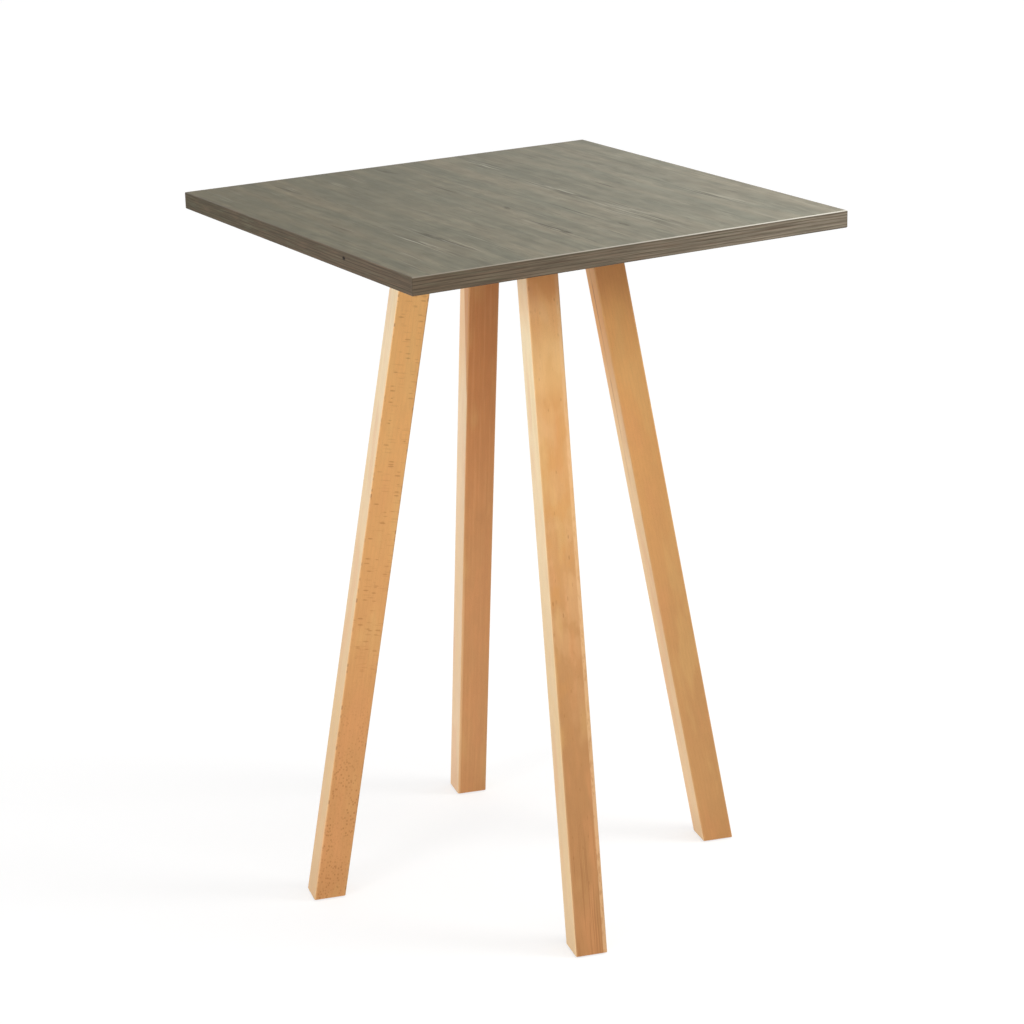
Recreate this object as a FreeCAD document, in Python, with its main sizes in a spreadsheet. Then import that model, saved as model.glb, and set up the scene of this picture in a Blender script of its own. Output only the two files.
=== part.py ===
import FreeCAD, Part
import os
import Sketcher

# A bar-height table: a square laminated top on four splayed beech legs, held by a welded steel
# under-frame. Millimetres, +Z up. The origin is on the floor under the middle of the top, and the
# front side faces -Y. What stands under the top is drawn in a radial frame, whose X axis runs
# outwards along a leg's lean, and is turned from there about the table's vertical axis.

# Driving dimensions: lengths in millimetres, angles in degrees, counts
DIMENSIONS = {
    "overall_height": 1050.0,
    "top_side": 700.0,
    "top_thickness": 25.0,
    "laminate_thickness": 0.8,
    "band_thickness": 2.0,
    "band_arris": 1.5,
    "leg_section": 48.0,
    "leg_arris": 2.5,
    "foot_radius": 316.0,
    "base_turn_angle": -14.0,
    "plate_diameter": 340.0,
    "plate_thickness": 5.0,
    "plate_head_inset": 36.0,
    "plate_screw_inset": 30.0,
    "shoe_thickness": 4.0,
    "shoe_bend_radius": 2.0,
    "shoe_clearance": 0.3,
    "shoe_height": 57.0,
    "shoe_cheek": 36.0,
    "shoe_heel": 10.0,
    "shoe_cheek_drop": 34.0,
    "tie_depth": 20.0,
    "tie_thickness": 6.0,
    "lap_clearance": 0.2,
    "bolt_diameter": 8.0,
    "bolt_length": 25.0,
    "bolt_drop": 38.0,
    "bolt_hole_diameter": 8.6,
    "bolt_head_width": 13.0,
    "bolt_head_height": 5.3,
    "washer_diameter": 16.0,
    "washer_thickness": 1.6,
    "insert_diameter": 12.5,
    "insert_length": 15.0,
    "insert_recess": 0.5,
    "thread_clearance": 0.15,
    "leg_bore_depth": 22.0,
    "screw_count": 4,
    "screw_diameter": 5.0,
    "screw_length": 20.0,
    "screw_head_diameter": 9.5,
    "screw_head_height": 3.2,
    "screw_recess_span": 4.6,
    "screw_recess_width": 1.2,
    "screw_recess_depth": 1.8,
    "screw_hole_diameter": 5.6,
    "pilot_clearance": 0.15,
    "pilot_spare_depth": 1.0,
    "glide_diameter": 28.0,
    "glide_proud": 2.0,
    "spigot_diameter": 5.0,
    "spigot_length": 18.0,
    "spigot_clearance": 0.15,
    "cut_overrun": 5.0,
}

# Values that follow from the driving dimensions, each worked out from the ones above it
DERIVED = {
    "core_side": "dims.top_side - 2 * dims.band_thickness",
    "top_underside": "dims.overall_height - dims.top_thickness",
    "core_underside": "layout.top_underside + dims.laminate_thickness",
    "core_thickness": "dims.top_thickness - 2 * dims.laminate_thickness",
    "plate_underside": "layout.top_underside - dims.plate_thickness",
    "head_radius": "dims.plate_diameter / 2 - dims.plate_head_inset",
    "screw_radius": "dims.plate_diameter / 2 - dims.plate_screw_inset",
    "leg_rise": "layout.plate_underside - dims.glide_proud",
    "lean": "(dims.foot_radius - layout.head_radius) / layout.leg_rise",
    "lean_angle": "atan(layout.lean) / 1 deg",
    "lean_stretch": "sqrt(1 + layout.lean * layout.lean)",
    "leg_half_depth": "dims.leg_section / 2 * layout.lean_stretch",
    "leg_inner_face": "layout.head_radius - layout.leg_half_depth",
    "shoe_inner_face": "layout.leg_inner_face - dims.shoe_thickness * layout.lean_stretch",
    "shoe_cheek_end": "layout.shoe_inner_face + dims.shoe_cheek * layout.lean_stretch",
    "shoe_half_gap": "dims.leg_section / 2 + dims.shoe_clearance",
    "shoe_half_width": "layout.shoe_half_gap + dims.shoe_thickness",
    "bolt_radius": "layout.leg_inner_face + layout.lean * dims.bolt_drop",
    "bolt_height": "layout.plate_underside - dims.bolt_drop",
    "bolt_seat": "dims.shoe_thickness + dims.washer_thickness",
    "insert_bore_radius": "dims.bolt_diameter / 2 + dims.thread_clearance",
    "leg_bore_diameter": "dims.insert_diameter + 2 * dims.thread_clearance",
    "screw_step_angle": "360 / dims.screw_count",
    "screw_start_angle": "dims.base_turn_angle + layout.screw_step_angle / 2",
    "screw_bite": "dims.screw_length - dims.plate_thickness - dims.laminate_thickness",
    "spigot_bore_diameter": "dims.spigot_diameter + 2 * dims.spigot_clearance",
    "spigot_bore_depth": "dims.spigot_length + dims.spigot_clearance",
}

FULL_TURN = 360
QUARTER_TURN = 90
SIDES = ("right", "back", "left", "front")
MATCH_SHARE = 0.001
UPRIGHT_SHARE = 0.5

X_AXIS = (1, 0, 0)
Z_AXIS = (0, 0, 1)
LEAN_UPWARDS = ("-layout.lean", "0", "1")
LEAN_DOWNWARDS = ("layout.lean", "0", "-1")


def make_sheet():
    """The spreadsheet of driving dimensions, one row and one alias for each."""
    sheet = doc.addObject("Spreadsheet::Sheet", "dims")
    for row, (alias, number) in enumerate(DIMENSIONS.items(), 1):
        sheet.set("A%d" % row, alias)
        sheet.set("B%d" % row, str(number))
        sheet.setAlias("B%d" % row, alias)
    doc.recompute()


def make_layout():
    """The set of derived values, each bound to the sheet by its own expression."""
    values = doc.addObject("App::VarSet", "layout")
    for name, expression in DERIVED.items():
        values.addProperty("App::PropertyFloat", name, "Layout")
        values.setExpression(name, expression)
        doc.recompute()
    return values


def value(expression):
    """What an expression comes to, as a plain number."""
    return float(layout.evalExpression(expression))


def new_body(label, turn="0"):
    """An empty sub-part, turned about the table's vertical axis by so many degrees."""
    body = doc.addObject("PartDesign::Body", label)
    body.Label = label
    body.AllowCompound = True
    body.setExpression("Placement.Rotation.Angle", "(%s) * 1 deg" % turn)
    sub_parts.append(body)
    return body


def origin_feature(body, role):
    """One of the planes or axes of a body's own origin."""
    return next(feature for feature in body.Origin.OriginFeatures if feature.Role == role)


def new_sketch(body, name, plane, shift=("0", "0", "0"), spin_axis=Z_AXIS, spin="0"):
    """A sketch on an origin plane, moved and spun in that plane's own directions."""
    sketch = body.newObject("Sketcher::SketchObject", name)
    sketch.AttachmentSupport = [(origin_feature(body, plane), "")]
    sketch.MapMode = "FlatFace"
    start = FreeCAD.Vector(*[value(expression) for expression in shift])
    turned = FreeCAD.Rotation(FreeCAD.Vector(*spin_axis), value(spin))
    sketch.AttachmentOffset = FreeCAD.Placement(start, turned)
    for axis, expression in zip("xyz", shift):
        sketch.setExpression("AttachmentOffset.Base." + axis, expression)
    sketch.setExpression("AttachmentOffset.Rotation.Angle", "(%s) * 1 deg" % spin)
    return sketch


def pin_point(sketch, shape, point, place):
    """Ties one point of a sketch's shape to a place given by two expressions, from its origin."""
    for kind, axis, expression in zip(("DistanceX", "DistanceY"), (-2, -1), place):
        if expression == "0":
            sketch.addConstraint(Sketcher.Constraint("PointOnObject", shape, point, axis))
        else:
            size = value(expression)
            distance = Sketcher.Constraint(kind, -1, 1, shape, point, size)
            index = sketch.addConstraint(distance)
            sketch.setExpression("Constraints[%d]" % index, expression)


def draw_outline(sketch, corners):
    """A closed outline of straight lines, every corner tied to its own pair of expressions."""
    places = [FreeCAD.Vector(value(across), value(along), 0) for across, along in corners]
    lines = []
    for start, end in zip(places, places[1:] + places[:1]):
        lines.append(sketch.addGeometry(Part.LineSegment(start, end)))
    for line, following in zip(lines, lines[1:] + lines[:1]):
        sketch.addConstraint(Sketcher.Constraint("Coincident", line, 2, following, 1))
    for line, corner in zip(lines, corners):
        pin_point(sketch, line, 1, corner)


def draw_rectangle(sketch, low, high):
    """A rectangle between two opposite corners, each a pair of expressions."""
    draw_outline(sketch, [low, (high[0], low[1]), high, (low[0], high[1])])


def draw_circle(sketch, diameter, centre=("0", "0")):
    """A circle with its centre and diameter bound to expressions."""
    middle = FreeCAD.Vector(value(centre[0]), value(centre[1]), 0)
    shape = sketch.addGeometry(Part.Circle(middle, FreeCAD.Vector(*Z_AXIS), value(diameter) / 2))
    pin_point(sketch, shape, 3, centre)
    index = sketch.addConstraint(Sketcher.Constraint("Diameter", shape, value(diameter)))
    sketch.setExpression("Constraints[%d]" % index, diameter)


def pad(body, name, sketch, length, along=None, symmetric=False):
    """Extrudes a sketch, upwards from its plane or along a slanting direction."""
    feature = body.newObject("PartDesign::Pad", name)
    feature.Profile = sketch
    feature.setExpression("Length", length)
    if along:
        feature.UseCustomVector = True
        feature.AlongSketchNormal = True
        for axis, expression in zip("xyz", along):
            feature.setExpression("Direction." + axis, expression)
    if symmetric:
        feature.SideType = "Symmetric"
    sketch.Visibility = False
    doc.recompute()
    return feature


def pocket(body, name, sketch, length, with_normal=False, symmetric=False):
    """Cuts a sketch away, against its normal unless it is told to follow it."""
    before = body.Tip.Shape.Volume
    feature = body.newObject("PartDesign::Pocket", name)
    feature.Profile = sketch
    feature.setExpression("Length", length)
    feature.Reversed = with_normal
    if symmetric:
        feature.SideType = "Symmetric"
    sketch.Visibility = False
    doc.recompute()
    if not feature.Shape.Volume < before:
        raise RuntimeError("%s in %s cuts nothing" % (name, body.Label))
    return feature


def revolve(body, name, sketch):
    """Turns a half profile a full turn about its sketch's vertical axis."""
    feature = body.newObject("PartDesign::Revolution", name)
    feature.Profile = sketch
    feature.ReferenceAxis = (sketch, ["V_Axis"])
    feature.Angle = FULL_TURN
    sketch.Visibility = False
    doc.recompute()
    return feature


def edges_where(feature, test):
    """The names of a feature's edges that pass a test."""
    edges = enumerate(feature.Shape.Edges, 1)
    return ["Edge%d" % number for number, edge in edges if test(edge)]


def close_to(first, second):
    """Whether two places along a line agree, measured against the table's leg section."""
    return abs(first - second) < MATCH_SHARE * value("dims.leg_section")


def points_of(edge):
    """The ends of an edge, and its middle."""
    middle = edge.valueAt((edge.FirstParameter + edge.LastParameter) / 2)
    return [vertex.Point for vertex in edge.Vertexes] + [middle]


def is_upright(edge):
    """Whether an edge runs up the piece, straight or leaning."""
    return abs(edge.tangentAt(edge.FirstParameter).z) > UPRIGHT_SHARE


def round_edges(body, name, radius, test):
    """Rounds the edges of the body's last feature that pass a test."""
    base = body.Tip
    feature = body.newObject("PartDesign::Fillet", name)
    feature.Base = (base, edges_where(base, test))
    feature.setExpression("Radius", radius)
    doc.recompute()
    return feature


def ring_of(body, name, count, original):
    """Repeats a feature evenly round the body's vertical axis."""
    feature = body.newObject("PartDesign::PolarPattern", name)
    feature.Originals = [original]
    feature.Axis = (origin_feature(body, "Z_Axis"), [""])
    feature.Angle = FULL_TURN
    feature.setExpression("Occurrences", count)
    body.Tip = feature
    doc.recompute()
    return feature


def ring_of_bodies(body, count):
    """Repeats the whole body evenly round its vertical axis, as separate solids."""
    feature = body.newObject("PartDesign::PolarPattern", "ring")
    feature.TransformMode = "Whole shape"
    feature.Axis = (origin_feature(body, "Z_Axis"), [""])
    feature.Angle = FULL_TURN
    feature.setExpression("Occurrences", count)
    body.Tip = feature
    doc.recompute()
    return feature


# The top: core, two laminates and four edge bands


def make_square_sheet(label, underside, thickness):
    """A square layer of the board, inside the edge bands."""
    layer = new_body(label)
    outline = new_sketch(layer, "outline", "XY_Plane", ("0", "0", underside))
    half = "layout.core_side / 2"
    draw_rectangle(outline, ("-" + half, "-" + half), (half, half))
    pad(layer, "sheet", outline, thickness)
    return layer


def drill_for_screws(layer, underside, diameter, depth):
    """A ring of holes for the plate screws, drilled upwards from the layer's underside."""
    place = ("0", "0", underside)
    hole = new_sketch(layer, "screw_hole", "XY_Plane", place, spin="layout.screw_start_angle")
    draw_circle(hole, diameter, ("layout.screw_radius", "0"))
    first = pocket(layer, "first_screw_hole", hole, depth, with_normal=True)
    ring_of(layer, "screw_holes", "dims.screw_count", first)


def make_core():
    """The chipboard core, with blind pilot holes for the plate screws."""
    core = make_square_sheet("top_core", "layout.core_underside", "layout.core_thickness")
    pilot = "dims.screw_diameter + 2 * dims.pilot_clearance"
    depth = "layout.screw_bite + dims.pilot_spare_depth"
    drill_for_screws(core, "layout.core_underside", pilot, depth)


def make_decor_laminate():
    """The wood-look laminate that is the table's surface."""
    level = "dims.overall_height - dims.laminate_thickness"
    make_square_sheet("decor_laminate", level, "dims.laminate_thickness")


def make_balance_laminate():
    """The plain laminate under the board, holed where the plate screws pass."""
    sheet = make_square_sheet("balance_laminate", "layout.top_underside", "dims.laminate_thickness")
    through = "dims.laminate_thickness"
    drill_for_screws(sheet, "layout.top_underside", "dims.screw_hole_diameter", through)


def make_edge_band(side, length, full_length):
    """A band along one side of the board, its level arrises rounded. It is drawn for the right side."""
    band = new_body("edge_band_" + side, "%d" % (QUARTER_TURN * SIDES.index(side)))
    profile = new_sketch(band, "profile", "XZ_Plane")
    outer = "dims.top_side / 2"
    inner = "layout.core_side / 2"
    draw_rectangle(profile, (inner, "layout.top_underside"), (outer, "dims.overall_height"))
    pad(band, "strip", profile, length, symmetric=True)
    outer_place = value(outer)
    end_place = value(length) / 2

    def shows_outside(edge):
        points = points_of(edge)
        on_face = all(close_to(point.x, outer_place) for point in points)
        on_end = all(close_to(abs(point.y), end_place) for point in points)
        return not is_upright(edge) and (on_face or full_length and on_end)

    round_edges(band, "arrises", "dims.band_arris", shows_outside)


def make_edge_bands():
    """The front and back bands run the full side, and the other two fit between them."""
    for side in SIDES:
        full_length = side in ("front", "back")
        length = "dims.top_side" if full_length else "layout.core_side"
        make_edge_band(side, length, full_length)


# The legs and their glides


def leg_turn(side):
    """How far a leg's radial frame is turned, as an expression in degrees."""
    return "dims.base_turn_angle + %d" % (QUARTER_TURN * SIDES.index(side))


def bolt_face_sketch(body, name, stand_off="0"):
    """A sketch square to a leg's bolt, so far in from the leg's inner face, its Y axis up the leg."""
    height = "layout.bolt_height - (%s) * layout.lean / layout.lean_stretch" % stand_off
    radius = "layout.bolt_radius - (%s) / layout.lean_stretch" % stand_off
    place = ("0", height, radius)
    return new_sketch(body, name, "YZ_Plane", place, X_AXIS, "-layout.lean_angle")


def make_leg(side):
    """A square leg leaning inwards as it rises, cut level at both ends."""
    leg = new_body("leg_" + side, leg_turn(side))
    section = new_sketch(leg, "foot_section", "XY_Plane", ("0", "0", "dims.glide_proud"))
    near = ("dims.foot_radius - layout.leg_half_depth", "-dims.leg_section / 2")
    far = ("dims.foot_radius + layout.leg_half_depth", "dims.leg_section / 2")
    draw_rectangle(section, near, far)
    pad(leg, "shaft", section, "layout.leg_rise", along=LEAN_UPWARDS)
    round_edges(leg, "long_arrises", "dims.leg_arris", is_upright)
    bore = bolt_face_sketch(leg, "insert_bore_circle")
    draw_circle(bore, "layout.leg_bore_diameter")
    pocket(leg, "insert_bore", bore, "dims.leg_bore_depth", with_normal=True)
    spigot = new_sketch(leg, "spigot_bore_circle", "XY_Plane", ("0", "0", "dims.glide_proud"))
    draw_circle(spigot, "layout.spigot_bore_diameter", ("dims.foot_radius", "0"))
    pocket(leg, "spigot_bore", spigot, "layout.spigot_bore_depth", with_normal=True)


def make_glide(side):
    """A low disc under a leg, with a spigot that presses up into it."""
    glide = new_body("glide_" + side, leg_turn(side))
    profile = new_sketch(glide, "half_profile", "XZ_Plane", ("dims.foot_radius", "0", "0"))
    rim = "dims.glide_diameter / 2"
    spigot = "dims.spigot_diameter / 2"
    tip = "dims.glide_proud + dims.spigot_length"
    corners = [
        ("0", "0"),
        (rim, "0"),
        (rim, "dims.glide_proud"),
        (spigot, "dims.glide_proud"),
        (spigot, tip),
        ("0", tip),
    ]
    draw_outline(profile, corners)
    revolve(glide, "turned_shape", profile)


# The steel under-frame


def make_plate():
    """The round plate under the top, drilled for its ring of screws."""
    plate = new_body("mounting_plate", "layout.screw_start_angle")
    disc = new_sketch(plate, "disc", "XY_Plane", ("0", "0", "layout.plate_underside"))
    draw_circle(disc, "dims.plate_diameter")
    pad(plate, "plate", disc, "dims.plate_thickness")
    place = ("0", "0", "layout.top_underside")
    circle = new_sketch(plate, "screw_hole_circle", "XY_Plane", place)
    draw_circle(circle, "dims.screw_hole_diameter", ("layout.screw_radius", "0"))
    hole = plate.newObject("PartDesign::Hole", "first_screw_hole")
    hole.Profile = circle
    hole.DepthType = "ThroughAll"
    hole.setExpression("Diameter", "dims.screw_hole_diameter")
    doc.recompute()
    ring_of(plate, "screw_holes", "dims.screw_count", hole)


def make_shoe(side):
    """A folded channel round the head of a leg: a web behind it and two tapering cheeks."""
    shoe = new_body("leg_shoe_" + side, leg_turn(side))
    channel = new_sketch(shoe, "channel", "XY_Plane", ("0", "0", "layout.plate_underside"))
    corners = [
        ("layout.shoe_inner_face", "-layout.shoe_half_width"),
        ("layout.shoe_cheek_end", "-layout.shoe_half_width"),
        ("layout.shoe_cheek_end", "-layout.shoe_half_gap"),
        ("layout.leg_inner_face", "-layout.shoe_half_gap"),
        ("layout.leg_inner_face", "layout.shoe_half_gap"),
        ("layout.shoe_cheek_end", "layout.shoe_half_gap"),
        ("layout.shoe_cheek_end", "layout.shoe_half_width"),
        ("layout.shoe_inner_face", "layout.shoe_half_width"),
    ]
    draw_outline(channel, corners)
    pad(shoe, "folded_channel", channel, "dims.shoe_height", along=LEAN_DOWNWARDS)
    top = value("layout.plate_underside")
    outside = value("layout.shoe_inner_face")
    inside = value("layout.leg_inner_face")

    def starts_at(edge, distance):
        heads = [point for point in points_of(edge) if close_to(point.z, top)]
        return is_upright(edge) and any(close_to(point.x, distance) for point in heads)

    outer_bend = "dims.shoe_bend_radius + dims.shoe_thickness"
    round_edges(shoe, "outer_bends", outer_bend, lambda edge: starts_at(edge, outside))
    round_edges(shoe, "inner_bends", "dims.shoe_bend_radius", lambda edge: starts_at(edge, inside))
    make_cheek_taper(shoe)
    hole = bolt_face_sketch(shoe, "bolt_hole_circle")
    draw_circle(hole, "dims.bolt_hole_diameter")
    pocket(shoe, "bolt_hole", hole, "dims.shoe_thickness + dims.cut_overrun")


def make_cheek_taper(shoe):
    """Cuts the lower outer corner off both cheeks. The sketch runs down and out across the leg."""
    place = ("layout.shoe_inner_face", "layout.plate_underside", "0")
    spin = "layout.lean_angle - %d" % QUARTER_TURN
    corner = new_sketch(shoe, "cheek_corner", "XZ_Plane", place, spin=spin)
    beyond_cheek = "dims.shoe_cheek + dims.cut_overrun"
    slanted_height = "dims.shoe_height * layout.lean_stretch + dims.shoe_cheek * layout.lean"
    below_shoe = slanted_height + " + dims.cut_overrun"
    corners = [
        ("dims.shoe_cheek_drop", beyond_cheek),
        ("dims.shoe_cheek_drop", "dims.shoe_cheek"),
        ("dims.shoe_height", "dims.shoe_heel"),
        (below_shoe, "dims.shoe_heel"),
        (below_shoe, beyond_cheek),
    ]
    draw_outline(corner, corners)
    width = "2 * layout.shoe_half_width + 2 * dims.cut_overrun"
    pocket(shoe, "cheek_tapers", corner, width, symmetric=True)


def make_tie(label, extra_turn, slot_from_above):
    """A flat on edge between two opposite shoes, slotted half way where it crosses the other."""
    tie = new_body(label, "dims.base_turn_angle + %d" % extra_turn)
    outline = new_sketch(tie, "outline", "XZ_Plane", ("0", "layout.plate_underside", "0"))
    upper = "layout.shoe_inner_face"
    lower = "(layout.shoe_inner_face + layout.lean * dims.tie_depth)"
    slot = "(dims.tie_thickness + dims.lap_clearance) / 2"
    floor = "-dims.tie_depth / 2"
    above = [("-" + slot, "0"), ("-" + slot, floor), (slot, floor), (slot, "0")]
    below = [(slot, "-dims.tie_depth"), (slot, floor), ("-" + slot, floor), ("-" + slot, "-dims.tie_depth")]
    corners = [("-" + upper, "0")]
    corners += above if slot_from_above else []
    corners += [(upper, "0"), (lower, "-dims.tie_depth")]
    corners += [] if slot_from_above else below
    corners += [("-" + lower, "-dims.tie_depth")]
    draw_outline(outline, corners)
    pad(tie, "flat", outline, "dims.tie_thickness", symmetric=True)


def make_ties():
    """The two crossing flats: one is slotted from above and the other from below."""
    make_tie("cross_tie_upper", 0, slot_from_above=False)
    make_tie("cross_tie_lower", QUARTER_TURN, slot_from_above=True)


# Fasteners. Those turned about a bolt's axis have it up the sketch, into the leg.


def bolt_axis_sketch(body):
    """A sketch through a bolt's axis, its X axis down the leg and its Y axis into it."""
    place = ("layout.bolt_radius", "layout.bolt_height", "0")
    spin = "layout.lean_angle - %d" % QUARTER_TURN
    return new_sketch(body, "half_profile", "XZ_Plane", place, spin=spin)


def repeat_at_legs(body):
    """Copies the body to every leg."""
    ring_of_bodies(body, "%d" % len(SIDES))


def hexagon_corners(width):
    """The corners of a hexagon of that width across its flats, two of them on the X axis."""
    reach = width + " / sqrt(3)"
    half_reach = reach + " / 2"
    half_width = width + " / 2"
    upper = [(half_reach, half_width), ("-" + half_reach, half_width)]
    lower = [("-" + half_reach, "-" + half_width), (half_reach, "-" + half_width)]
    return [(reach, "0")] + upper + [("-" + reach, "0")] + lower


def make_bolts():
    """Hexagon-head bolts, each head seated on its washer."""
    bolts = new_body("leg_bolts", "dims.base_turn_angle")
    head_face = "layout.bolt_seat + dims.bolt_head_height"
    head = bolt_face_sketch(bolts, "head_outline", head_face)
    draw_outline(head, hexagon_corners("dims.bolt_head_width"))
    pad(bolts, "head", head, "dims.bolt_head_height")
    shank = bolt_face_sketch(bolts, "shank_circle", "layout.bolt_seat")
    draw_circle(shank, "dims.bolt_diameter")
    pad(bolts, "shank", shank, "dims.bolt_length")
    repeat_at_legs(bolts)


def make_washers():
    """Plain washers between the bolt heads and the shoes."""
    washers = new_body("bolt_washers", "dims.base_turn_angle")
    profile = bolt_axis_sketch(washers)
    low = ("dims.bolt_diameter / 2 + 2 * dims.thread_clearance", "-layout.bolt_seat")
    high = ("dims.washer_diameter / 2", "-dims.shoe_thickness")
    draw_rectangle(profile, low, high)
    revolve(washers, "turned_shape", profile)
    repeat_at_legs(washers)


def make_inserts():
    """Threaded inserts, sunk just below each leg's inner face."""
    inserts = new_body("threaded_inserts", "dims.base_turn_angle")
    profile = bolt_axis_sketch(inserts)
    low = ("layout.insert_bore_radius", "dims.insert_recess")
    high = ("dims.insert_diameter / 2", "dims.insert_recess + dims.insert_length")
    draw_rectangle(profile, low, high)
    revolve(inserts, "turned_shape", profile)
    repeat_at_legs(inserts)


def cross_corners(span, width):
    """The corners of an upright cross with arms of that span and width."""
    tip = span + " / 2"
    side = width + " / 2"
    corners = []
    for across, along in (("", ""), ("-", ""), ("-", "-"), ("", "-")):
        arm = (across + side, along + tip)
        inner = (across + side, along + side)
        end = (across + tip, along + side)
        corners += [end, inner, arm] if across == along else [arm, inner, end]
    return corners


def make_plate_screws():
    """Cross-recess wood screws up through the plate into the core."""
    screws = new_body("plate_screws", "layout.screw_start_angle")
    place = ("layout.screw_radius", "layout.plate_underside", "0")
    profile = new_sketch(screws, "half_profile", "XZ_Plane", place)
    head = "dims.screw_head_diameter / 2"
    shank = "dims.screw_diameter / 2"
    corners = [
        ("0", "-dims.screw_head_height"),
        (head, "-dims.screw_head_height"),
        (head, "0"),
        (shank, "0"),
        (shank, "dims.screw_length"),
        ("0", "dims.screw_length"),
    ]
    draw_outline(profile, corners)
    revolve(screws, "turned_shape", profile)
    under_head = ("layout.screw_radius", "0", "layout.plate_underside - dims.screw_head_height")
    cross = new_sketch(screws, "cross_recess_outline", "XY_Plane", under_head)
    draw_outline(cross, cross_corners("dims.screw_recess_span", "dims.screw_recess_width"))
    pocket(screws, "cross_recess", cross, "dims.screw_recess_depth", with_normal=True)
    ring_of_bodies(screws, "dims.screw_count")


def check_model():
    """Stops if any object failed, or if a sub-part is not a sound solid."""
    for thing in doc.Objects:
        if "Invalid" in thing.State or "Error" in thing.State:
            raise RuntimeError("%s failed: %s" % (thing.Label, thing.State))
    for body in sub_parts:
        if body.Shape.isNull() or not body.Shape.isValid() or not body.Shape.Solids:
            raise RuntimeError("%s is not a sound solid" % body.Label)


def write_parts():
    """One file for each sub-part, named by its label."""
    for body in sub_parts:
        body.Shape.exportStep("parts/%s.step" % body.Label)
        print(body.Label, len(body.Shape.Solids), "solids", round(body.Shape.Volume), "mm3")


os.makedirs("parts", exist_ok=True)
doc = FreeCAD.newDocument("bar_table")
sub_parts = []
make_sheet()
layout = make_layout()
make_core()
make_decor_laminate()
make_balance_laminate()
make_edge_bands()
for side_name in SIDES:
    make_leg(side_name)
    make_glide(side_name)
    make_shoe(side_name)
make_plate()
make_ties()
make_bolts()
make_washers()
make_inserts()
make_plate_screws()
doc.recompute()
check_model()
write_parts()
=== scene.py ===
"""A bar table: a square wood-look top on four splayed beech legs. Metres, Z up, in the frame's axes.

Every solid comes from the frame. This script gives each one its surface, and sets the floor, the lamps
and the camera. Tones are written as they look on a screen, from 0 to 255.
"""
import math

import bpy
from mathutils import Euler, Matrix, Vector


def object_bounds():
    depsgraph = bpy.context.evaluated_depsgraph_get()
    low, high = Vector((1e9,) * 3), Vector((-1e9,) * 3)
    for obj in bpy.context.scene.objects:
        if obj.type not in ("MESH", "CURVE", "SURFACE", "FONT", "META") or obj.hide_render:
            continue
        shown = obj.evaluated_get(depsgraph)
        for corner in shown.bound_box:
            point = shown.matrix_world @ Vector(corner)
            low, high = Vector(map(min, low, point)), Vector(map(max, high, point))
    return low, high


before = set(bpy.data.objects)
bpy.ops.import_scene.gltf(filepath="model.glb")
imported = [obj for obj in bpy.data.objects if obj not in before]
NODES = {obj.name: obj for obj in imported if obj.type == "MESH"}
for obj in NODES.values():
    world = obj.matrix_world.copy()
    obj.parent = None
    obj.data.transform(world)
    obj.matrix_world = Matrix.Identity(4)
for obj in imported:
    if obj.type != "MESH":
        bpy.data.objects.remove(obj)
cad_box = [list(corner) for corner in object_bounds()]

MM = 0.001
X, Y, Z = range(3)
WHITE = (1.0, 1.0, 1.0, 1.0)

# The camera, fitted to the corners of the top, the edges of the legs and the feet in the photograph
PHOTO_SIDE = 1024
FOCAL_PIXELS = 2825.3
LENS_CENTRE = (528.5, 541.7)
CAMERA_PLACE = (-2.0449, -3.4831, 1.8700)
CAMERA_AZIMUTH = math.radians(-30.696)
CAMERA_ELEVATION = math.radians(18.364)
CAMERA_ROLL = math.radians(-1.364)
SENSOR_WIDTH = 36.0

# Light, as the brightness that it gives a white surface facing it
AMBIENT = 0.58
KEY_LIGHT = 0.54
TOP_LIGHT = 0.25

# The near lamp, which lights the right-hand front corner most
NEAR_LAMP_PLACE = (1.3, -1.1, 1.9)
NEAR_LAMP_WATTS = 17.0
NEAR_LAMP_SIZE = 0.8

# The floor: its size, its paint to diffuse light and as it is seen, and the glow that whitens it then
FLOOR_SIZE = 120.0
FLOOR_PAINT = (206, 206, 206)
FLOOR_PAINT_SEEN = (168, 168, 168)
FLOOR_GLOW = 0.66

# Where most of a noise's values lie, and where nearly all of them do
MOST = (0.3, 0.7)
NEARLY_ALL = (0.2, 0.8)

# How far a surface's seed moves from each of its textures to the next
SEED_STEP = 3.7

# The top's height and half its side, from the frame
TOP_HEIGHT = round(cad_box[1][Z], 4)
HALF_TOP = round(cad_box[1][X], 4)

# The print's tones, lighter with painted sheen along a slant from the back left corner to the front right
# one
TOP_SLANT = -0.45
TOP_FADE_REACH = 1.6 * HALF_TOP
TOP_TONES = ((102, 98, 80), (132, 129, 114))
TOP_BROWN = ((107, 99, 80), (136, 130, 114))
TOP_GREEN = ((99, 96, 79), (128, 128, 114))

# Dark streaks in the print: x, y, reach across and along, in millimetres, and turn in degrees
TOP_STREAKS = (
    (-206, -190, 5, 92, 4),
    (-206, -148, 6, 44, 4),
    (-43, -208, 4, 84, 1.5),
    (-44, -233, 6, 18, 5),
    (-30, 131, 4, 58, 2),
    (-33, 300, 6, 34, 12),
    (-221, 262, 4.5, 64, 2.5),
    (176, 14, 3.5, 38, 0),
    (46, -240, 6, 20, 0),
    (40, -131, 2.5, 120, 0),
    (256, -145, 4, 54, 5),
    (-25, -44, 5, 16, -15),
    (101, 73, 4, 20, 18),
    (-283, -24, 2.5, 40, 0),
)

# Places with combed lines in the print, in the same way
TOP_COMBS = (
    (-240, -190, 11, 150, 1),
    (102, -195, 32, 165, 0),
    (110, 255, 20, 62, 3),
    (100, 20, 14, 130, 1),
    (260, -150, 14, 118, 3),
    (-46, -220, 10, 140, 1),
    (-204, -180, 10, 120, 4),
)
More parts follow.
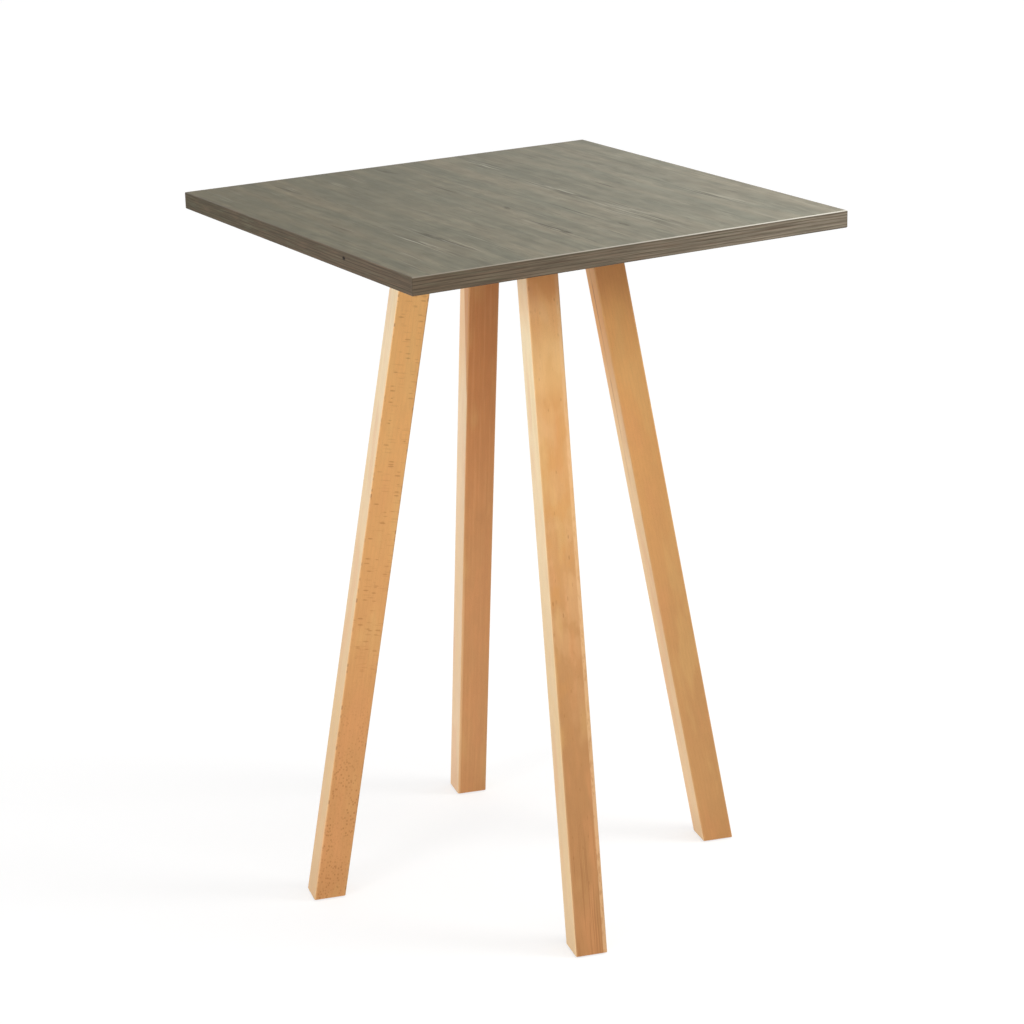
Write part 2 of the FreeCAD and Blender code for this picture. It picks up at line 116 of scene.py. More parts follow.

# Edge bands: side, axis of the grain, tones at its low and high end, strength of ribs and of the painted
# highlight on the arris, and seed. The front band's rise to the right is painted sheen, and the left band's
# darker tones are painted shade.
EDGE_BANDS = (
    ("front", X, ((104, 91, 75), (126, 116, 101)), 0.25, 0.85, 35.0),
    ("right", Y, ((118, 109, 94), (112, 103, 88)), 0.3, 0.25, 35.0),
    ("back", X, ((106, 96, 81), (112, 103, 88)), 0.3, 0.25, 32.0),
    ("left", Y, ((96, 83, 68), (79, 71, 55)), 0.2, 0.1, 32.0),
)
# The painted highlight on the bands' upper arris, at the low and high end of each band
EDGE_ARRIS_HIGHLIGHT = ((142, 134, 120), (212, 208, 196))
EDGE_FADE_REACH = 1.05 * HALF_TOP
EDGE_LINE_SPACING = 4.6 * MM

# The small dark mark on the left edge band: its middle, and its reach along each axis
MARK_PLACE = (-HALF_TOP, -160 * MM, TOP_HEIGHT - 8.5 * MM)
MARK_REACH = (4 * MM, 6 * MM, 3.5 * MM)

# Legs: each has its foot's middle on a circle, leans in by the same angle and has soft arrises
LEG_FOOT_RADIUS = 316 * MM
LEG_FOOT_HEIGHT = 2 * MM
LEG_HALF_WIDTH = 24 * MM
LEG_ARRIS_FROM = LEG_HALF_WIDTH - 3.2 * MM
LEG_ARRIS_TO = LEG_HALF_WIDTH - 1.6 * MM
LEG_LEAN = math.radians(10.14)
LEG_AZIMUTH = {"right": -14.0, "back": 76.0, "left": 166.0, "front": 256.0}

# Axis and direction, in each leg's own frame, of its face to the front, which the photo shows broad
BROAD_FACE = {"right": (Y, -1.0), "back": (X, -1.0), "left": (Y, 1.0), "front": (X, 1.0)}

# The same of its face to the left, which the photo shows slim
SLIM_FACE = {"right": (X, -1.0), "back": (Y, 1.0), "left": (X, 1.0), "front": (Y, -1.0)}

# Each leg's tones low down and high up on its front and rear faces, those on the other two, and its seed.
# The other two faces are paler with painted sheen, and the change with the height is partly painted light
# and shade.
LEG_BROAD_TONES = {
    "left": ((203, 146, 91), (238, 180, 112)),
    "front": ((177, 127, 79), (235, 180, 117)),
    "right": ((198, 146, 91), (233, 171, 103)),
    "back": ((206, 149, 97), (202, 135, 82)),
}
LEG_SLIM_SHEEN_TONES = {
    "left": ((217, 180, 132), (244, 219, 179)),
    "front": ((225, 193, 147), (255, 235, 194)),
    "right": ((232, 195, 147), (242, 207, 158)),
    "back": ((230, 196, 155), (240, 211, 172)),
}
LEG_SEED = {"left": 100.0, "front": 110.0, "right": 120.0, "back": 130.0}

# The beech's rings: the leg's middle from the tree's, their width, and their stretch along the leg
HEART_TO_MIDDLE = (110 * MM, 70 * MM, 0.0)
RING_WIDTH = 5 * MM
RING_STRETCH = (1.0, 1.0, 0.03)


def shade(red, green, blue):
    """A colour written as it looks on a screen, 0 to 255, given as a linear one."""
    parts = [part / 255 for part in (red, green, blue)]
    linear = [p / 12.92 if p <= 0.04045 else ((p + 0.055) / 1.055) ** 2.4 for p in parts]
    return (*linear, 1.0)


class Nodes:
    """A node tree, with short names for the nodes that work on numbers, places and colours."""

    def __init__(self, tree):
        self.tree = tree

    def feed(self, socket, value):
        """Links an output to a socket, or sets the socket's own value."""
        if isinstance(value, bpy.types.NodeSocket):
            self.tree.links.new(value, socket)
        else:
            socket.default_value = value

    def node(self, kind, inputs, **settings):
        """A new node, with its settings made and its inputs fed by name or by number."""
        made = self.tree.nodes.new(kind)
        for name, value in settings.items():
            setattr(made, name, value)
        for name, value in inputs.items():
            self.feed(made.inputs[name], value)
        return made

    def seen_directly(self):
        """1 for what the camera sees, itself or by reflection or refraction, and 0 for diffuse light."""
        path = self.node("ShaderNodeLightPath", {})
        seen = self.math("MAXIMUM", path.outputs["Is Camera Ray"], path.outputs["Is Glossy Ray"])
        return self.math("MAXIMUM", seen, path.outputs["Is Transmission Ray"])

    def math(self, operation, *values):
        """A sum with numbers."""
        return self.node("ShaderNodeMath", dict(enumerate(values)), operation=operation).outputs[0]

    def vector(self, operation, first, second=(0.0, 0.0, 0.0), scale=1.0):
        """A sum with vectors."""
        inputs = {0: first, 1: second, 3: scale}
        return self.node("ShaderNodeVectorMath", inputs, operation=operation).outputs["Vector"]

    def length(self, vector):
        """How long a vector is."""
        return self.node("ShaderNodeVectorMath", {0: vector}, operation="LENGTH").outputs["Value"]

    def axis(self, vector, number):
        """One number of a place or a colour."""
        return self.node("ShaderNodeSeparateXYZ", {0: vector}).outputs[number]

    def both(self, first, *others):
        """Masks multiplied: high where all of them are."""
        for other in others:
            first = self.math("MULTIPLY", first, other)
        return first

    def range(self, value, low, high, to_low=0.0, to_high=1.0):
        """A number carried smoothly from one range to another, and held at its ends."""
        inputs = {"Value": value, "From Min": low, "From Max": high, "To Min": to_low, "To Max": to_high}
        return self.node("ShaderNodeMapRange", inputs, interpolation_type="SMOOTHSTEP").outputs[0]

    def band(self, value, low, high, soft):
        """A mask that is 1 where a number lies between two others."""
        return self.both(self.range(value, low - soft, low), self.range(value, high + soft, high))

    def mix(self, factor, first, second, blend="MIX"):
        """Two colours mixed."""
        inputs = {0: factor, 6: first, 7: second}
        return self.node("ShaderNodeMix", inputs, data_type="RGBA", blend_type=blend).outputs[2]

    def fade(self, factor, tones):
        """From the first of two tones to the second."""
        first, second = tones
        return self.mix(factor, shade(*first), shade(*second))

    def stain(self, colour, mask, strength, tone):
        """A colour laid over another where a mask is high."""
        return self.mix(self.math("MULTIPLY", mask, strength), colour, tone)

    def vary(self, colour, value, low, high):
        """A colour made darker and lighter by soft noise."""
        return self.mix(1.0, colour, self.range(value, *MOST, low, high), "MULTIPLY")


class Surface(Nodes):
    """A procedural material whose grain runs along one axis, with short names for its textures."""

    def __init__(self, name, along=Z, seed=0.0, **sockets):
        self.material = bpy.data.materials.new(name)
        self.material.use_nodes = True
        super().__init__(self.material.node_tree)
        self.shader = self.tree.nodes["Principled BSDF"]
        self.along = along
        self.seed = seed
        self.world = self.node("ShaderNodeTexCoord", {}).outputs["Object"]
        self.place = self.world
        for socket, value in sockets.items():
            self.set(socket.replace("_", " "), value)

    def set(self, socket, value):
        """Sets one of the shader's own sockets."""
        self.feed(self.shader.inputs[socket], value)

    def turn_to(self, origin, rotation):
        """Measures this surface's places from an origin, along turned axes."""
        inputs = {"Vector": self.world, "Location": origin, "Rotation": rotation}
        self.place = self.node("ShaderNodeMapping", inputs, vector_type="TEXTURE").outputs[0]

    def sway(self, amount, length):
        """Bends the grain gently to the side, by an amount over a length."""
        inputs = {"Vector": self.sized(length, length), "Detail": 1.0, "Scale": 1.0}
        soft = self.node("ShaderNodeTexNoise", inputs)
        centred = self.vector("SUBTRACT", soft.outputs["Color"], (0.5, 0.5, 0.5))
        offset = self.vector("SCALE", centred, scale=amount)
        self.place = self.vector("ADD", self.place, offset)

    def sized(self, wide, long):
        """Places in which one unit is so wide across the grain and so long along it."""
        scale = [1 / wide] * 3
        scale[self.along] = 1 / long
        self.seed += SEED_STEP
        inputs = {"Vector": self.place, "Scale": scale, "Location": [self.seed] * 3}
        return self.node("ShaderNodeMapping", inputs).outputs[0]

    def noise(self, wide, long, detail=2.0, roughness=0.5):
        """Soft blotches of a size, from 0 to 1."""
        inputs = {"Vector": self.sized(wide, long), "Scale": 1.0, "Detail": detail, "Roughness": roughness}
        return self.node("ShaderNodeTexNoise", inputs).outputs["Fac"]

    def cells(self, wide, long):
        """Irregular cells of a size."""
        return self.node("ShaderNodeTexVoronoi", {"Vector": self.sized(wide, long), "Scale": 1.0})

    def flecks(self, wide, long, share, size):
        """Scattered spots: a share of the cells of a size holds one, from 0 outside to 1 inside."""
        cells = self.cells(wide, long)
        chosen = self.range(self.axis(cells.outputs["Color"], X), 1 - share, 1.02 - share)
        spot = self.range(cells.outputs["Distance"], size, size / 2)
        weight = self.range(self.axis(cells.outputs["Color"], Y), 0.0, 1.0, 0.4, 1.0)
        return self.both(chosen, spot, weight)

    def streak(self, middle, reach, turn=0.0):
        """One soft-ended spot round a place, so far in each direction: 1 in its middle, 0 outside."""
        inputs = {"Vector": self.place, "Location": middle, "Scale": reach, "Rotation": (0.0, 0.0, turn)}
        offset = self.node("ShaderNodeMapping", inputs, vector_type="TEXTURE").outputs[0]
        return self.range(self.length(offset), 1.0, 0.3)

    def relief(self, height, depth):
        """Gives the shader a relief of a depth in metres."""
        bump = self.node("ShaderNodeBump", {"Height": height, "Distance": depth, "Strength": 1.0})
        self.set("Normal", bump.outputs["Normal"])

    def cover(self, *names):
        """Puts the material on solids of the frame."""
        for name in names:
            for slot in NODES[name].material_slots:
                slot.material = self.material


def place_on_top(x, y, across, along, turn):
    """What a streak needs to lie in the top's print, from a line of the tables above."""
    return (x * MM, y * MM, TOP_HEIGHT), (across * MM, along * MM, TOP_HEIGHT), math.radians(turn)


def add_combs(top, colour):
    """Fine dark and pale lines, as if combed: clear in the places of the table, faint in a few more."""
    lines = top.noise(3.2 * MM, 110 * MM)
    combed = top.range(top.noise(16 * MM, 130 * MM, detail=1.0), 0.6, 0.72, 0.0, 0.4)
    for row in TOP_COMBS:
        combed = top.math("MAXIMUM", combed, top.streak(*place_on_top(*row)))
    dark = top.both(combed, top.range(lines, 0.5, 0.36))
    pale = top.both(combed, top.range(lines, 0.5, 0.64))
    colour = top.stain(colour, dark, 0.62, shade(84, 79, 67))
    return top.stain(colour, pale, 0.6, shade(168, 164, 148))


def add_streaks(top, colour):
    """Dark streaks with ragged edges in the places of the table."""
    ragged = top.range(top.noise(1.4 * MM, 26 * MM), 0.36, 0.54, 0.35, 1.0)
    for row in TOP_STREAKS:
        spot = top.streak(*place_on_top(*row))
        colour = top.stain(colour, top.both(spot, ragged), 0.62, shade(68, 63, 52))
    return colour


def make_top_decor():
    """Grey-taupe wood print, grain along Y: boards, patches, wisps, combs, streaks, pores, hairlines."""
    top = Surface("decor_laminate", along=Y, seed=1.0, IOR=1.45, Specular_IOR_Level=0.07)
    slanting = top.math("MULTIPLY_ADD", top.axis(top.world, Y), TOP_SLANT, top.axis(top.world, X))
    painted_light_fade = top.range(slanting, -TOP_FADE_REACH, TOP_FADE_REACH)
    top.sway(9 * MM, 240 * MM)
    top.sway(3 * MM, 45 * MM)
    boards = top.noise(32 * MM, 1300 * MM, detail=1.0)
    bands = top.noise(13 * MM, 520 * MM, detail=1.0)
    patches = top.noise(36 * MM, 200 * MM)
    clouds = top.noise(22 * MM, 44 * MM, detail=4.0)
    streaky = top.range(top.noise(44 * MM, 150 * MM, detail=1.0), 0.42, 0.6, 0.4, 1.0)
    wisps = top.noise(7 * MM, 90 * MM, detail=3.0)
    fibres = top.noise(1.2 * MM, 24 * MM, detail=3.0, roughness=0.6)
    # Painted sheen: the print grows lighter along the slant towards the front right corner.
    colour = top.fade(painted_light_fade, TOP_TONES)
    brown = top.fade(painted_light_fade, TOP_BROWN)
    green = top.fade(painted_light_fade, TOP_GREEN)
    colour = top.stain(colour, top.range(boards, 0.46, 0.66), 0.7, brown)
    colour = top.stain(colour, top.range(patches, 0.48, 0.7), 0.6, brown)
    colour = top.stain(colour, top.range(patches, 0.52, 0.3), 0.6, green)
    colour = top.vary(colour, boards, 0.94, 1.06)
    colour = top.vary(colour, bands, 0.96, 1.04)
    colour = top.vary(colour, patches, 0.97, 1.03)
    colour = top.vary(colour, clouds, 0.925, 1.075)
    wispy = top.vary(top.vary(colour, wisps, 0.88, 1.12), fibres, 0.87, 1.13)
    colour = top.mix(streaky, colour, wispy)
    colour = add_combs(top, colour)
    colour = add_streaks(top, colour)
    pores = top.flecks(2.3 * MM, 34 * MM, 0.28, size=0.42)
    colour = top.stain(colour, pores, 0.4, shade(76, 70, 58))
    hairlines = top.flecks(3.4 * MM, 150 * MM, 0.12, size=0.32)
    colour = top.stain(colour, hairlines, 0.5, shade(70, 66, 54))
    top.set("Base Color", colour)
    top.set("Roughness", top.range(fibres, *NEARLY_ALL, 0.44, 0.58))
    top.relief(fibres, 0.04 * MM)
    top.cover("decor_laminate")


def make_edge_decor(side, along, tones, ribs, arris, seed):
    """Brown-grey wood print with close ribs and even dark lines along the band.

    A painted highlight makes the upper arris pale, and below it lies a soft dark line. Painted shade
    darkens the band a little at its very ends.
    """
    band = Surface("edge_band_" + side, along=along, seed=seed, IOR=1.45, Specular_IOR_Level=0.08)
    painted_light_fade = band.range(band.axis(band.world, along), -EDGE_FADE_REACH, EDGE_FADE_REACH)
    level = band.math("SUBTRACT", band.axis(band.world, Z), TOP_HEIGHT)
    band.sway(1.5 * MM, 120 * MM)
    broad = band.noise(9 * MM, 150 * MM)
    rib = band.noise(1.4 * MM, 90 * MM)
    fibres = band.noise(0.9 * MM, 12 * MM, detail=3.0, roughness=0.6)
    tint = band.noise(4 * MM, 46 * MM)
    # Painted light along the band: sheen on the front band towards the right, shade on the left band.
    colour = band.fade(painted_light_fade, tones)
    colour = band.stain(colour, band.range(tint, 0.52, 0.68), 0.3, shade(118, 96, 78))
    colour = band.stain(colour, band.range(tint, 0.46, 0.32), 0.3, shade(100, 100, 82))
    colour = band.vary(colour, broad, 0.96, 1.04)
    colour = band.vary(colour, rib, 1 - ribs, 1 + ribs)
    colour = band.stain(colour, band.range(rib, 0.46, 0.36), 0.5 * ribs, shade(58, 49, 38))
    colour = band.vary(colour, fibres, 0.93, 1.07)
    wander = band.math("MULTIPLY_ADD", broad, 5 * MM, band.axis(band.place, Z))
    turns = band.math("FRACT", band.math("DIVIDE", wander, EDGE_LINE_SPACING))
    lines = band.both(band.band(turns, 0.4, 0.5, 0.25), band.range(tint, 0.3, 0.5, 0.6, 1.0))
    colour = band.stain(colour, lines, 1.9 * ribs, shade(64, 55, 44))
    below_arris = band.band(level, -3.4 * MM, -2.2 * MM, 0.6 * MM)
    colour = band.stain(colour, below_arris, 0.3, shade(70, 60, 48))
    # Painted highlight on the upper arris, brighter towards the band's high end.
    painted_arris_highlight = band.range(level, -1.4 * MM, -0.7 * MM)
    colour = band.stain(colour, painted_arris_highlight, arris, band.fade(painted_light_fade, EDGE_ARRIS_HIGHLIGHT))
    # Painted shade: the band a little darker at its very ends.
    from_middle = band.math("ABSOLUTE", band.axis(band.world, along))
    painted_shade_at_ends = band.range(from_middle, HALF_TOP - 1.6 * MM, HALF_TOP - 0.2 * MM)
    colour = band.stain(colour, painted_shade_at_ends, 0.6, shade(84, 74, 60))
    if side == "left":
        mark = band.streak(MARK_PLACE, MARK_REACH)
        colour = band.stain(colour, mark, 0.95, shade(24, 18, 14))
    band.set("Base Color", colour)
    band.set("Roughness", band.range(fibres, *NEARLY_ALL, 0.42, 0.56))
    band.relief(rib, 0.05 * MM)
    band.cover("edge_band_" + side)


class Beech(Surface):
    """One leg's lacquered beech, its places measured from the middle of the foot along the leg."""

    def __init__(self, side):
        super().__init__("beech_" + side, along=Z, seed=LEG_SEED[side], IOR=1.47, Specular_IOR_Level=0.3)
        self.side = side
        azimuth = math.radians(LEG_AZIMUTH[side])
        foot = (LEG_FOOT_RADIUS * math.cos(azimuth), LEG_FOOT_RADIUS * math.sin(azimuth), LEG_FOOT_HEIGHT)
        self.turn_to(foot, (0.0, -LEG_LEAN, azimuth))
        self.height = self.axis(self.place, Z)
        self.frontward = self.towards(BROAD_FACE[side])
        self.leftward = self.towards(SLIM_FACE[side])
        front_depth = self.math("ABSOLUTE", self.frontward)
        left_depth = self.math("ABSOLUTE", self.leftward)
        self.slim = self.range(self.math("SUBTRACT", left_depth, front_depth), -0.6 * MM, 0.6 * MM)
        self.broad = self.math("SUBTRACT", 1.0, self.slim)
        inner_depth = self.math("MINIMUM", front_depth, left_depth)
        self.arris = self.range(inner_depth, LEG_ARRIS_FROM, LEG_ARRIS_TO)

    def towards(self, face):
        """How far a place lies from the leg's middle towards one of its faces."""
        number, direction = face
        return self.math("MULTIPLY", self.axis(self.place, number), direction)

    def wood_colour(self, low, high):
        """The leg's tones, which pass into each other between two heights, with the wood's own figure.

        The figure is a slow drift of hue, mottle, faint rings, fibres and fine rays.
        """
        # Painted sheen pales the slim faces, and the change with height is partly painted light and shade.
        rise = self.range(self.height, low, high)
        broad_tone = self.fade(rise, LEG_BROAD_TONES[self.side])
        sheen_slim_tone = self.fade(rise, LEG_SLIM_SHEEN_TONES[self.side])
        colour = self.mix(self.slim, broad_tone, sheen_slim_tone)
        self.sway(4 * MM, 300 * MM)
        drift = self.noise(30 * MM, 130 * MM)
        colour = self.stain(colour, self.range(drift, 0.52, 0.68), 0.22, shade(222, 152, 100))
        colour = self.stain(colour, self.range(drift, 0.48, 0.32), 0.2, shade(228, 190, 122))
        colour = self.vary(colour, self.noise(16 * MM, 40 * MM, detail=3.0), 0.98, 1.02)
        from_heart = self.vector("MULTIPLY", self.vector("ADD", self.place, HEART_TO_MIDDLE), RING_STRETCH)
        rings = self.math("DIVIDE", self.length(from_heart), RING_WIDTH)
        late = self.range(self.math("FRACT", rings), 0.5, 0.95)
        colour = self.stain(colour, late, 0.05, shade(170, 108, 60))
        self.fibres = self.noise(0.8 * MM, 16 * MM, detail=3.0, roughness=0.6)
        colour = self.vary(colour, self.fibres, 0.97, 1.03)
        rays = self.flecks(0.55 * MM, 2.6 * MM, 0.5, size=0.4)
        return self.stain(colour, rays, 0.22, shade(150, 92, 48))

    def painted_head_shade(self, colour, strength, low, high):
        """Painted shade: a redder tone on the broad faces under the top, from one height to another."""
        head = self.both(self.broad, self.range(self.height, low, high))
        return self.stain(colour, head, strength, shade(186, 108, 58))

    def finish(self, colour):
        """Lacquer on the whole leg, with a painted highlight on the arrises and painted shade at the foot.
        """
        # Painted highlight: the arrises a little paler.
        colour = self.stain(colour, self.arris, 0.12, shade(238, 204, 158))
        # Painted shade: a little darker towards the foot.
        foot = self.range(self.height, 80 * MM, 20 * MM)
        colour = self.stain(colour, foot, 0.1, shade(150, 90, 44))
        self.set("Base Color", colour)
        self.set("Roughness", self.range(self.fibres, *NEARLY_ALL, 0.4, 0.52))
        self.relief(self.fibres, 0.04 * MM)
        self.cover("leg_" + self.side)


def make_left_leg():
    """Wide dark dashes over the broad face, pepper towards its foot, and specks along its arrises."""
    leg = Beech("left")
    colour = leg.wood_colour(100 * MM, 1050 * MM)
    upper = leg.both(leg.broad, leg.range(leg.height, 300 * MM, 440 * MM))
    clusters = leg.range(leg.noise(18 * MM, 24 * MM, detail=1.0), 0.4, 0.56, 0.15, 1.0)
    dashes = leg.flecks(14 * MM, 4 * MM, 0.45, size=0.4)
    colour = leg.stain(colour, leg.both(dashes, upper, clusters), 0.44, shade(150, 82, 24))
    faint = leg.flecks(24 * MM, 3.4 * MM, 0.4, size=0.36)
    colour = leg.stain(colour, leg.both(faint, upper), 0.2, shade(168, 104, 52))
    lower = leg.both(leg.broad, leg.range(leg.height, 400 * MM, 160 * MM))
    pepper = leg.flecks(3.8 * MM, 4.8 * MM, 0.85, size=0.46)
    patches = leg.range(leg.noise(16 * MM, 40 * MM, detail=1.0), 0.36, 0.56, 0.25, 1.0)
    colour = leg.stain(colour, leg.both(pepper, lower, patches), 0.56, shade(154, 96, 50))
    specks = leg.flecks(7 * MM, 9 * MM, 0.6, size=0.5)
    colour = leg.stain(colour, leg.both(specks, leg.arris, leg.broad), 0.7, shade(136, 84, 42))
    leg.finish(colour)


def make_front_leg():
    """Cloudy broad face with short cracks, grain lines at the foot and a pale strip on its right.

    Towards the top its broad face is paler with painted light and then redder with painted shade, and its
    slim face redder with painted shade.
    """
    leg = Beech("front")
    colour = leg.wood_colour(200 * MM, 1100 * MM)
    clouds = leg.noise(26 * MM, 54 * MM, detail=3.0)
    upper = leg.both(leg.broad, leg.range(leg.height, 200 * MM, 600 * MM))
    colour = leg.stain(colour, leg.both(upper, leg.range(clouds, 0.5, 0.64)), 0.38, shade(208, 146, 78))
    colour = leg.stain(colour, leg.both(upper, leg.range(clouds, 0.5, 0.36)), 0.25, shade(232, 184, 134))
    # Painted light: a paler band on the broad face below the top's shade.
    pale = leg.both(leg.broad, leg.band(leg.height, 840 * MM, 880 * MM, 40 * MM))
    colour = leg.stain(colour, pale, 0.3, shade(248, 206, 142))
    # Painted shade: the slim face redder just under the top.
    slim_head = leg.both(leg.slim, leg.range(leg.height, 890 * MM, 950 * MM))
    colour = leg.stain(colour, slim_head, 0.3, shade(232, 160, 104))
    cracks = leg.flecks(5 * MM, 16 * MM, 0.12, size=0.3)
    colour = leg.stain(colour, leg.both(leg.broad, cracks), 0.45, shade(146, 96, 50))
    grain = leg.range(leg.noise(1.9 * MM, 110 * MM), 0.52, 0.62)
    foot = leg.both(leg.broad, leg.range(leg.height, 230 * MM, 110 * MM), grain)
    colour = leg.stain(colour, foot, 0.45, shade(150, 100, 56))
    strip = leg.both(leg.broad, leg.range(leg.leftward, -16.8 * MM, -18.4 * MM))
    broken = leg.range(leg.noise(3 * MM, 10 * MM), 0.34, 0.5, 0.4, 1.0)
    colour = leg.stain(colour, leg.both(strip, broken), 0.45, shade(236, 194, 146))
    # Painted shade on the broad faces under the top.
    leg.finish(leg.painted_head_shade(colour, 0.42, 925 * MM, 970 * MM))


def make_right_leg():
    """Even broad face, redder at the top, and a dark grain line on the slim one's warmer upper half."""
    leg = Beech("right")
    colour = leg.wood_colour(200 * MM, 1000 * MM)
    # Partly the wood's tone and partly painted shade: the slim face warmer and darker towards the top.
    slim_head = leg.both(leg.slim, leg.range(leg.height, 640 * MM, 900 * MM))
    colour = leg.stain(colour, slim_head, 0.92, shade(222, 158, 86))
    line = leg.band(leg.frontward, -3 * MM, -1 * MM, 2 * MM)
    broken = leg.range(leg.noise(12 * MM, 60 * MM, detail=4.0), 0.4, 0.58, 0.2, 1.0)
    upper = leg.range(leg.height, 540 * MM, 800 * MM)
    colour = leg.stain(colour, leg.both(leg.slim, line, broken, upper), 0.7, shade(158, 84, 36))
    # Painted shade on the broad faces under the top.
    leg.finish(leg.painted_head_shade(colour, 0.36, 880 * MM, 950 * MM))


def make_back_leg():
    """Reddish broad face with light streaks and a pale strip on its lower left.

    The slim face is warmer towards the top and has a painted shadow along its front side there, which
    widens with the height.
    """
    leg = Beech("back")
    colour = leg.wood_colour(350 * MM, 850 * MM)
    streaks = leg.range(leg.noise(4 * MM, 170 * MM), 0.5, 0.66)
    colour = leg.stain(colour, leg.both(leg.broad, streaks), 0.2, shade(224, 168, 110))
    strip = leg.both(leg.broad, leg.range(leg.leftward, 19.4 * MM, 20.6 * MM))
    strip = leg.both(strip, leg.range(leg.height, 480 * MM, 330 * MM))
    colour = leg.stain(colour, strip, 0.5, shade(234, 190, 140))
    slim_head = leg.both(leg.slim, leg.range(leg.height, 700 * MM, 850 * MM))
    colour = leg.stain(colour, slim_head, 0.4, shade(232, 168, 100))
    # Painted shadow along the slim face's front side near the top, widening with the height.
    widening = leg.math("MULTIPLY_ADD", leg.height, 0.14, -121 * MM)
    painted_shadow_rim = leg.range(leg.math("ADD", leg.frontward, widening), 3 * MM, 6 * MM)
    colour = leg.stain(colour, leg.both(leg.slim, painted_shadow_rim), 0.85, shade(204, 138, 76))
    leg.finish(colour)


def make_balance():
    """The plain matt paper laminate under the top."""
    paper = Surface("balance_laminate", along=Y, seed=40.0, Roughness=0.6)
    mottle = paper.noise(6 * MM, 9 * MM, detail=4.0, roughness=0.6)
    grain = paper.noise(0.7 * MM, 1.4 * MM)
    colour = paper.vary(shade(142, 136, 124), mottle, 0.92, 1.08)
    paper.set("Base Color", paper.vary(colour, grain, 0.94, 1.06))
    paper.relief(grain, 0.04 * MM)
    paper.cover("balance_laminate")


def make_chipboard():
    """Pressed wood chips."""
    board = Surface("chipboard", along=Y, seed=50.0, Roughness=0.8)
    chips = board.cells(2.5 * MM, 6 * MM)
    colour = board.fade(board.axis(chips.outputs["Color"], X), ((150, 116, 78), (206, 172, 128)))
    board.set("Base Color", board.vary(colour, board.noise(1 * MM, 2 * MM), 0.85, 1.1))
    board.relief(chips.outputs["Distance"], 0.2 * MM)
    board.cover("top_core")


def make_frame_steel():
    """Steel with a fine black powder coat."""
    coat = Surface("frame_steel", seed=60.0, IOR=1.5)
    orange_peel = coat.noise(1.1 * MM, 1.1 * MM)
    cloud = coat.noise(30 * MM, 30 * MM, detail=3.0)
    coat.set("Base Color", coat.fade(coat.range(cloud, *MOST), ((36, 36, 37), (48, 48, 49))))
    coat.set("Roughness", coat.range(orange_peel, *MOST, 0.46, 0.6))
    coat.relief(orange_peel, 0.08 * MM)
    shoes = ["leg_shoe_" + side for side in LEG_AZIMUTH]
    coat.cover("mounting_plate", "cross_tie_upper", "cross_tie_lower", *shoes)


def make_fastener_steel():
    """Bright zinc plating with faint clouding."""
    zinc = Surface("fastener_steel", seed=70.0, Metallic=1.0)
    cloud = zinc.noise(2 * MM, 2 * MM, detail=3.0)
    scuff = zinc.noise(0.4 * MM, 0.4 * MM)
    zinc.set("Base Color", zinc.fade(zinc.range(cloud, *MOST), ((172, 174, 176), (206, 207, 206))))
    zinc.set("Roughness", zinc.range(cloud, *MOST, 0.26, 0.42))
    zinc.relief(scuff, 0.01 * MM)
    zinc.cover("leg_bolts", "bolt_washers", "threaded_inserts", "plate_screws")


def make_glide_plastic():
    """Natural nylon, faintly scuffed."""
    nylon = Surface("glide_plastic", seed=80.0, IOR=1.5)
    cloud = nylon.noise(5 * MM, 5 * MM, detail=3.0)
    scuff = nylon.noise(0.6 * MM, 6 * MM)
    nylon.set("Base Color", nylon.vary(shade(196, 188, 172), cloud, 0.92, 1.06))
    nylon.set("Roughness", nylon.range(scuff, *MOST, 0.4, 0.62))
    nylon.relief(scuff, 0.03 * MM)
    nylon.cover(*["glide_" + side for side in LEG_AZIMUTH])


def make_floor():
    """A white floor that keeps faint soft shadows, and lets itself be seen through from below.

    Seen directly or in a reflection it is part glow, which makes it white; to diffuse light it is paint.
    """
    bpy.ops.mesh.primitive_plane_add(size=FLOOR_SIZE)
    floor = bpy.context.object
    floor.name = "floor"
    paint = Surface("floor_paint", Roughness=0.9, Specular_IOR_Level=0.0)
    seen = paint.seen_directly()
    paint.set("Base Color", paint.fade(seen, (FLOOR_PAINT, FLOOR_PAINT_SEEN)))
    paint.set("Emission Color", WHITE)
    paint.set("Emission Strength", paint.range(seen, 0.0, 1.0, 0.0, FLOOR_GLOW))
    clear = paint.node("ShaderNodeBsdfTransparent", {})
    behind = paint.node("ShaderNodeNewGeometry", {}).outputs["Backfacing"]
    inputs = {0: behind, 1: paint.shader.outputs[0], 2: clear.outputs[0]}
    shown = paint.node("ShaderNodeMixShader", inputs)
    paint.feed(paint.tree.nodes["Material Output"].inputs["Surface"], shown.outputs[0])
    floor.data.materials.append(paint.material)


def add_object(data, rotation, place=(0.0, 0.0, 0.0)):
    """A new object of the scene that holds a lamp or a camera, by the same name."""
    thing = bpy.data.objects.new(data.name, data)
    thing.location = place
    thing.rotation_euler = rotation
    bpy.context.scene.collection.objects.link(thing)
    return thing


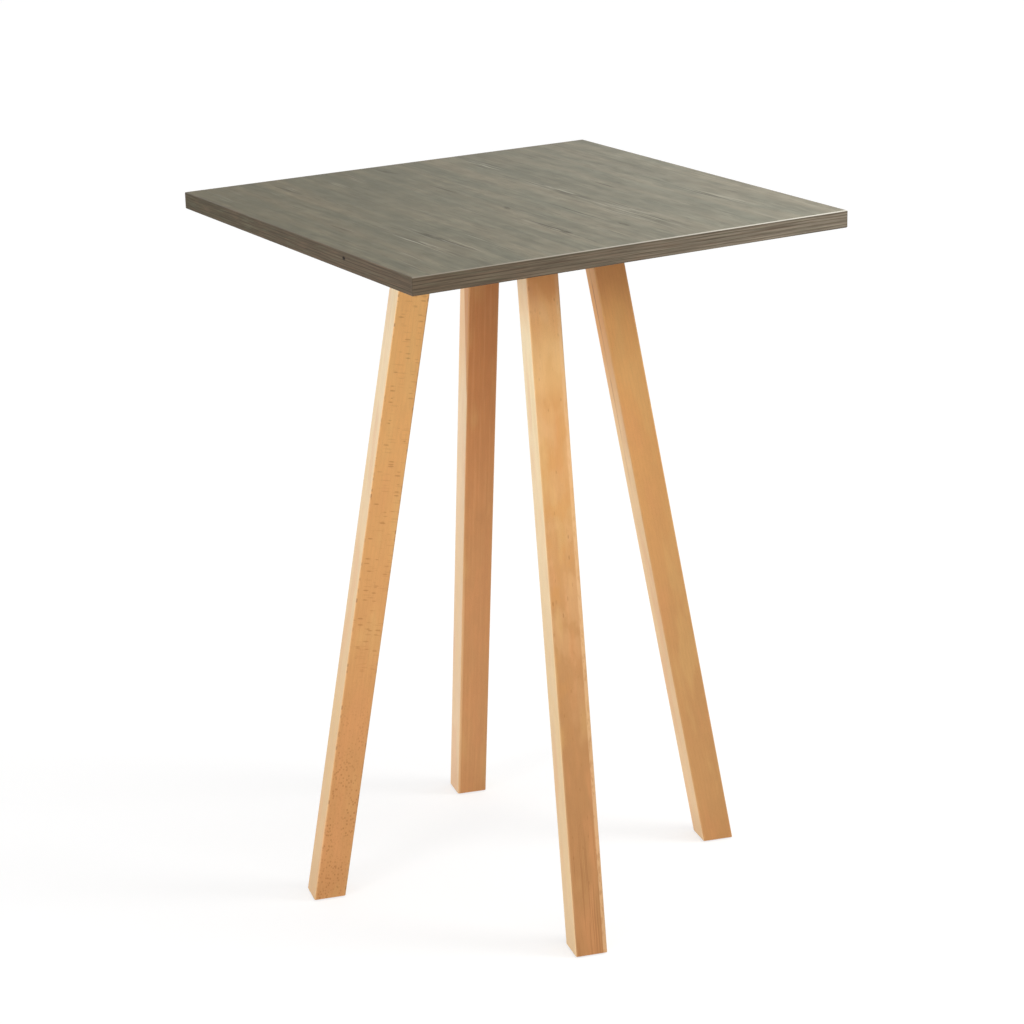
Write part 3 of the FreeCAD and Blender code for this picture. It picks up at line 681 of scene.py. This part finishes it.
def make_sun(name, brightness, azimuth, elevation, spread):
    """A wide, even lamp far away: its brightness is what a white surface facing it shows."""
    lamp = bpy.data.lights.new(name, "SUN")
    lamp.energy = brightness * math.pi
    lamp.angle = math.radians(spread)
    add_object(lamp, (0.0, math.radians(90 - elevation), math.radians(azimuth)))


def make_near_lamp():
    """A round lamp above the right-hand front corner, turned to the middle of the top."""
    lamp = bpy.data.lights.new("near_lamp", "AREA")
    lamp.shape = "DISK"
    lamp.size = NEAR_LAMP_SIZE
    lamp.energy = NEAR_LAMP_WATTS
    aim = Vector((0.0, 0.0, TOP_HEIGHT)) - Vector(NEAR_LAMP_PLACE)
    thing = add_object(lamp, aim.to_track_quat("-Z", "Y").to_euler(), NEAR_LAMP_PLACE)
    thing.visible_camera = False


def make_world():
    """Even light from all round, and white wherever the surroundings are seen."""
    world = bpy.data.worlds.new("studio")
    world.use_nodes = True
    sky = Nodes(world.node_tree)
    background = sky.tree.nodes["Background"].inputs
    sky.feed(background["Color"], WHITE)
    sky.feed(background["Strength"], sky.range(sky.seen_directly(), 0.0, 1.0, AMBIENT, 1.0))
    bpy.context.scene.world = world


def make_camera():
    """A long lens at the photograph's own place."""
    lens = bpy.data.cameras.new("camera")
    lens.sensor_width = SENSOR_WIDTH
    lens.lens = FOCAL_PIXELS * SENSOR_WIDTH / PHOTO_SIDE
    lens.shift_x = 0.5 - LENS_CENTRE[X] / PHOTO_SIDE
    lens.shift_y = LENS_CENTRE[Y] / PHOTO_SIDE - 0.5
    level = Euler((math.pi / 2 - CAMERA_ELEVATION, 0.0, CAMERA_AZIMUTH)).to_quaternion()
    roll = Euler((0.0, 0.0, CAMERA_ROLL)).to_quaternion()
    bpy.context.scene.camera = add_object(lens, (level @ roll).to_euler(), CAMERA_PLACE)


make_camera()
make_world()
make_sun("key", KEY_LIGHT, azimuth=200, elevation=9, spread=20)
make_sun("top_light", TOP_LIGHT, azimuth=-60, elevation=65, spread=60)
make_near_lamp()
make_floor()
make_top_decor()
for row in EDGE_BANDS:
    make_edge_decor(*row)
make_left_leg()
make_front_leg()
make_right_leg()
make_back_leg()
make_balance()
make_chipboard()
make_frame_steel()
make_fastener_steel()
make_glide_plastic()

bpy.context.scene.view_settings.view_transform = "Standard"
